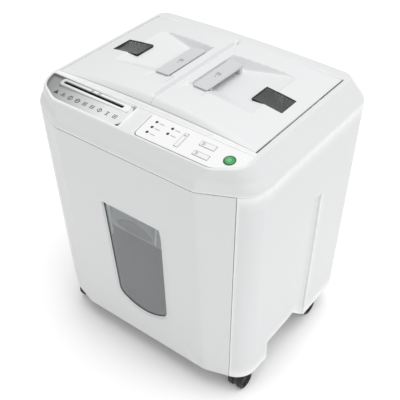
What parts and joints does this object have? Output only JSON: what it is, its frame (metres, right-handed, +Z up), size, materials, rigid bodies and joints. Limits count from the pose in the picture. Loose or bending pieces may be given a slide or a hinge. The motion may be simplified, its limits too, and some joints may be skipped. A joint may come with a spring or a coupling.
{
  "type": "paper shredder",
  "caption": "Free-standing auto-feed paper shredder: domed lids over paper chambers, disc slot and control strip in front, cutting head inside, pull-out bin with window, on casters.",
  "frame": {"origin": "on the floor, under the middle of the housing at its widest", "axes": "+Z up, -Y to the front where the bin pulls out, +X to the right seen from the front"},
  "size_m": [0.532, 0.448, 0.647],
  "materials": {
    "white_housing": "satin, finely textured",
    "panel_white": "smooth",
    "handle_grey": "satin",
    "key_grey": "satin",
    "smoked_clear": "smoked, clear, polished",
    "bin_window_clear": "tinted, clear, polished",
    "power_green": "translucent green",
    "ring_green": "dark green",
    "black_plastic": "satin",
    "steel": "machined",
    "gear_nylon": "moulded nylon",
    "feed_rubber": "matt",
    "tray_grey": "moulded",
    "board_green": "laminate",
    "switch_amber": "moulded",
    "light_lens": "clear red lens"
  },
  "bodies": {
    "housing": {"top_cover": "white_housing", "left_side_panel": "white_housing", "right_side_panel": "white_housing", "rear_panel": "white_housing", "rear_screw_left": "steel", "rear_screw_right": "steel", "base_plate": "black_plastic", "left_bin_rail": "black_plastic", "right_bin_rail": "black_plastic", "left_hinge_rod": "steel", "right_hinge_rod": "steel", "left_paper_tray": "tray_grey", "right_paper_tray": "tray_grey", "disc_slot_insert": "handle_grey", "control_panel": "panel_white", "power_button_ring": "ring_green", "status_light_guide": "light_lens", "left_head_plate": "steel", "right_head_plate": "steel", "front_crossbar": "steel", "rear_crossbar": "steel", "motor": "steel", "reduction_axle": "steel", "control_board": "board_green", "power_board": "board_green", "mains_inlet": "black_plastic", "bin_microswitch": "switch_amber"},
    "left_lid": {"left_lid": "white_housing", "left_lid_handle": "handle_grey", "left_lid_window": "smoked_clear"},
    "right_lid": {"right_lid": "white_housing", "right_lid_handle": "handle_grey", "right_lid_window": "smoked_clear"},
    "bin": {"bin_front": "white_housing", "bin_window": "bin_window_clear", "bin_tub": "tray_grey"},
    "feed_key": {"feed_key": "key_grey"},
    "forward_key": {"forward_key": "key_grey"},
    "reverse_key": {"reverse_key": "key_grey"},
    "power_button": {"power_button": "power_green"},
    "mains_switch": {"mains_switch": "black_plastic"},
    "front_cutter": {"front_cutter": "steel", "front_cutter_gear": "gear_nylon"},
    "rear_cutter": {"rear_cutter": "steel", "rear_cutter_gear": "gear_nylon"},
    "feed_rollers": {"feed_shaft": "steel", "feed_gear": "gear_nylon", "left_feed_roller": "feed_rubber", "right_feed_roller": "feed_rubber"},
    "reduction_gear": {"reduction_gear": "gear_nylon"},
    "motor_rotor": {"motor_pinion": "gear_nylon"},
    "caster_front_left_fork": {"caster_front_left_fork": "black_plastic"},
    "caster_front_left_wheel": {"caster_front_left_wheel": "black_plastic"},
    "caster_front_right_fork": {"caster_front_right_fork": "black_plastic"},
    "caster_front_right_wheel": {"caster_front_right_wheel": "black_plastic"},
    "caster_rear_left_fork": {"caster_rear_left_fork": "black_plastic"},
    "caster_rear_left_wheel": {"caster_rear_left_wheel": "black_plastic"},
    "caster_rear_right_fork": {"caster_rear_right_fork": "black_plastic"},
    "caster_rear_right_wheel": {"caster_rear_right_wheel": "black_plastic"}
  },
  "joints": [
    {"name": "bin_slide", "type": "slide", "parent": "housing", "child": "bin", "axis": [0, -1, 0], "range_m": [0, 0.32]},
    {"name": "left_lid_hinge", "type": "hinge", "parent": "housing", "child": "left_lid", "pos_m": [-0.2245, 0.005, 0.6215], "axis": [0, -1, 0], "range_deg": [0, 88]},
    {"name": "right_lid_hinge", "type": "hinge", "parent": "housing", "child": "right_lid", "pos_m": [0.2245, 0.005, 0.6215], "axis": [0, 1, 0], "range_deg": [0, 88]},
    {"name": "feed_key_press", "type": "slide", "parent": "housing", "child": "feed_key", "axis": [0, 0.2065, -0.9784], "range_m": [0, 0.0009], "stiffness_N_per_m": 900, "springref_m": -0.0008},
    {"name": "forward_key_press", "type": "slide", "parent": "housing", "child": "forward_key", "axis": [0, 0.2065, -0.9784], "range_m": [0, 0.0009], "stiffness_N_per_m": 900, "springref_m": -0.0008},
    {"name": "reverse_key_press", "type": "slide", "parent": "housing", "child": "reverse_key", "axis": [0, 0.2065, -0.9784], "range_m": [0, 0.0009], "stiffness_N_per_m": 900, "springref_m": -0.0008},
    {"name": "power_button_press", "type": "slide", "parent": "housing", "child": "power_button", "axis": [0, 0.2065, -0.9784], "range_m": [0, 0.0014], "stiffness_N_per_m": 900, "springref_m": -0.0008},
    {"name": "mains_switch_rock", "type": "hinge", "parent": "housing", "child": "mains_switch", "pos_m": [-0.13, 0.20998, 0.15], "axis": [1, 0, 0], "range_deg": [0, 12]},
    {"name": "front_cutter_spin", "type": "hinge", "parent": "housing", "child": "front_cutter", "pos_m": [0, 0.001, 0.475], "axis": [1, 0, 0], "continuous": true},
    {"name": "rear_cutter_spin", "type": "hinge", "parent": "housing", "child": "rear_cutter", "pos_m": [0, 0.035, 0.475], "axis": [1, 0, 0], "continuous": true},
    {"name": "feed_roller_spin", "type": "hinge", "parent": "housing", "child": "feed_rollers", "pos_m": [0, 0.018, 0.53254], "axis": [1, 0, 0], "continuous": true},
    {"name": "reduction_gear_spin", "type": "hinge", "parent": "housing", "child": "reduction_gear", "pos_m": [0, 0.066, 0.475], "axis": [1, 0, 0], "continuous": true},
    {"name": "motor_spin", "type": "hinge", "parent": "housing", "child": "motor_rotor", "pos_m": [0, 0.118, 0.475], "axis": [1, 0, 0], "continuous": true},
    {"name": "front_left_swivel", "type": "hinge", "parent": "housing", "child": "caster_front_left_fork", "pos_m": [-0.224, -0.147, 0.05], "axis": [0, 0, 1], "continuous": true},
    {"name": "front_left_roll", "type": "hinge", "parent": "caster_front_left_fork", "child": "caster_front_left_wheel", "pos_m": [-0.224, -0.135, 0.023], "axis": [1, 0, 0], "continuous": true},
    {"name": "front_right_swivel", "type": "hinge", "parent": "housing", "child": "caster_front_right_fork", "pos_m": [0.224, -0.147, 0.05], "axis": [0, 0, 1], "continuous": true},
    {"name": "front_right_roll", "type": "hinge", "parent": "caster_front_right_fork", "child": "caster_front_right_wheel", "pos_m": [0.224, -0.135, 0.023], "axis": [1, 0, 0], "continuous": true},
    {"name": "rear_left_swivel", "type": "hinge", "parent": "housing", "child": "caster_rear_left_fork", "pos_m": [-0.224, 0.125, 0.05], "axis": [0, 0, 1], "continuous": true},
    {"name": "rear_left_roll", "type": "hinge", "parent": "caster_rear_left_fork", "child": "caster_rear_left_wheel", "pos_m": [-0.224, 0.137, 0.023], "axis": [1, 0, 0], "continuous": true},
    {"name": "rear_right_swivel", "type": "hinge", "parent": "housing", "child": "caster_rear_right_fork", "pos_m": [0.224, 0.125, 0.05], "axis": [0, 0, 1], "continuous": true},
    {"name": "rear_right_roll", "type": "hinge", "parent": "caster_rear_right_fork", "child": "caster_rear_right_wheel", "pos_m": [0.224, 0.137, 0.023], "axis": [1, 0, 0], "continuous": true}
  ],
  "couplings": [
    {"joint": "rear_cutter_spin", "follows": "front_cutter_spin", "ratio": -1},
    {"joint": "feed_roller_spin", "follows": "front_cutter_spin", "ratio": -0.39535},
    {"joint": "reduction_gear_spin", "follows": "front_cutter_spin", "ratio": 1.2143},
    {"joint": "motor_spin", "follows": "front_cutter_spin", "ratio": -4.0476}
  ]
}
